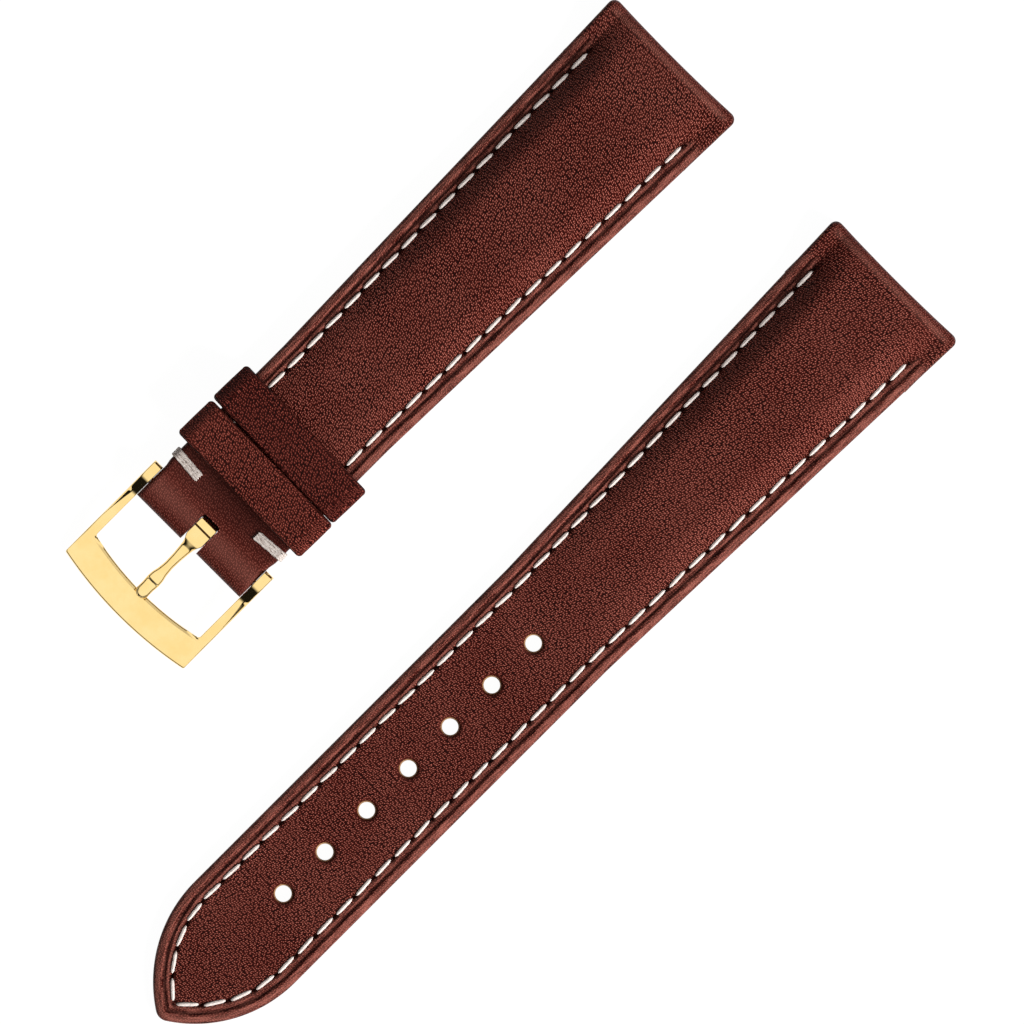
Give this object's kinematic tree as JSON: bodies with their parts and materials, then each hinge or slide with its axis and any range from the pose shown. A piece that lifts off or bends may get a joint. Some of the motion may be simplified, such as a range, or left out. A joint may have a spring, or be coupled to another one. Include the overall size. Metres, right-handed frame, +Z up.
{
  "type": "watch strap",
  "caption": "Padded leather watch strap in two halves: a pointed tail with punched holes, and a buckle half with a pin buckle on a spring bar, a fixed keeper and a free keeper.",
  "frame": {"origin": "middle of the pair of halves as they lie, on the surface they lie on", "axes": "+X along both halves towards their lug ends, +Y across from the tail half to the buckle half, +Z up from the lining to the face"},
  "size_m": [0.115, 0.0538, 0.0069],
  "materials": {
    "face_leather": "reddish brown grained calf, semi-gloss",
    "lining_leather": "tan lining leather, matt",
    "padding": "felt padding",
    "stiffener": "bonded board",
    "thread": "waxed off-white thread",
    "tack_thread": "waxed greyish beige thread",
    "gold_plate": "polished yellow gold plate",
    "spring_steel": "satin steel"
  },
  "bodies": {
    "strap": {"tail_face_leather": "face_leather", "tail_padding": "padding", "tail_stiffener": "stiffener", "tail_lining": "lining_leather", "tail_lug_loop": "lining_leather", "tail_face_thread": "thread", "tail_lining_thread": "thread", "head_face_leather": "face_leather", "head_padding": "padding", "head_stiffener": "stiffener", "head_lining": "lining_leather", "head_lug_loop": "lining_leather", "head_face_thread": "thread", "head_lining_thread": "thread", "bar_tack_left": "tack_thread", "bar_tack_right": "tack_thread", "fixed_keeper": "face_leather", "fixed_keeper_lining": "lining_leather", "spring_bar_barrel": "spring_steel", "spring_bar_spring": "spring_steel"},
    "buckle": {"buckle_frame": "gold_plate"},
    "tongue": {"buckle_tongue": "gold_plate"},
    "free_keeper": {"free_keeper": "face_leather", "free_keeper_lining": "lining_leather"},
    "plunger_left": {"spring_bar_plunger_left": "spring_steel"},
    "plunger_right": {"spring_bar_plunger_right": "spring_steel"}
  },
  "joints": [
    {"name": "buckle_swing", "type": "hinge", "parent": "strap", "child": "buckle", "pos_m": [-0.01633, 0.0172, 0.0027], "axis": [0, 1, 0], "range_deg": [-75, 25]},
    {"name": "tongue_swing", "type": "hinge", "parent": "buckle", "child": "tongue", "pos_m": [-0.01633, 0.0172, 0.0027], "axis": [0, 1, 0], "range_deg": [0, 80]},
    {"name": "free_keeper_slide", "type": "slide", "parent": "strap", "child": "free_keeper", "axis": [1, 0, 0], "range_m": [0, 0.015]},
    {"name": "plunger_left_press", "type": "slide", "parent": "strap", "child": "plunger_left", "axis": [0, -1, 0], "range_m": [0, 0.0009], "stiffness_N_per_m": 800, "deforming": ["spring_bar_spring"]},
    {"name": "plunger_right_press", "type": "slide", "parent": "strap", "child": "plunger_right", "axis": [0, 1, 0], "range_m": [0, 0.0009], "stiffness_N_per_m": 800}
  ]
}
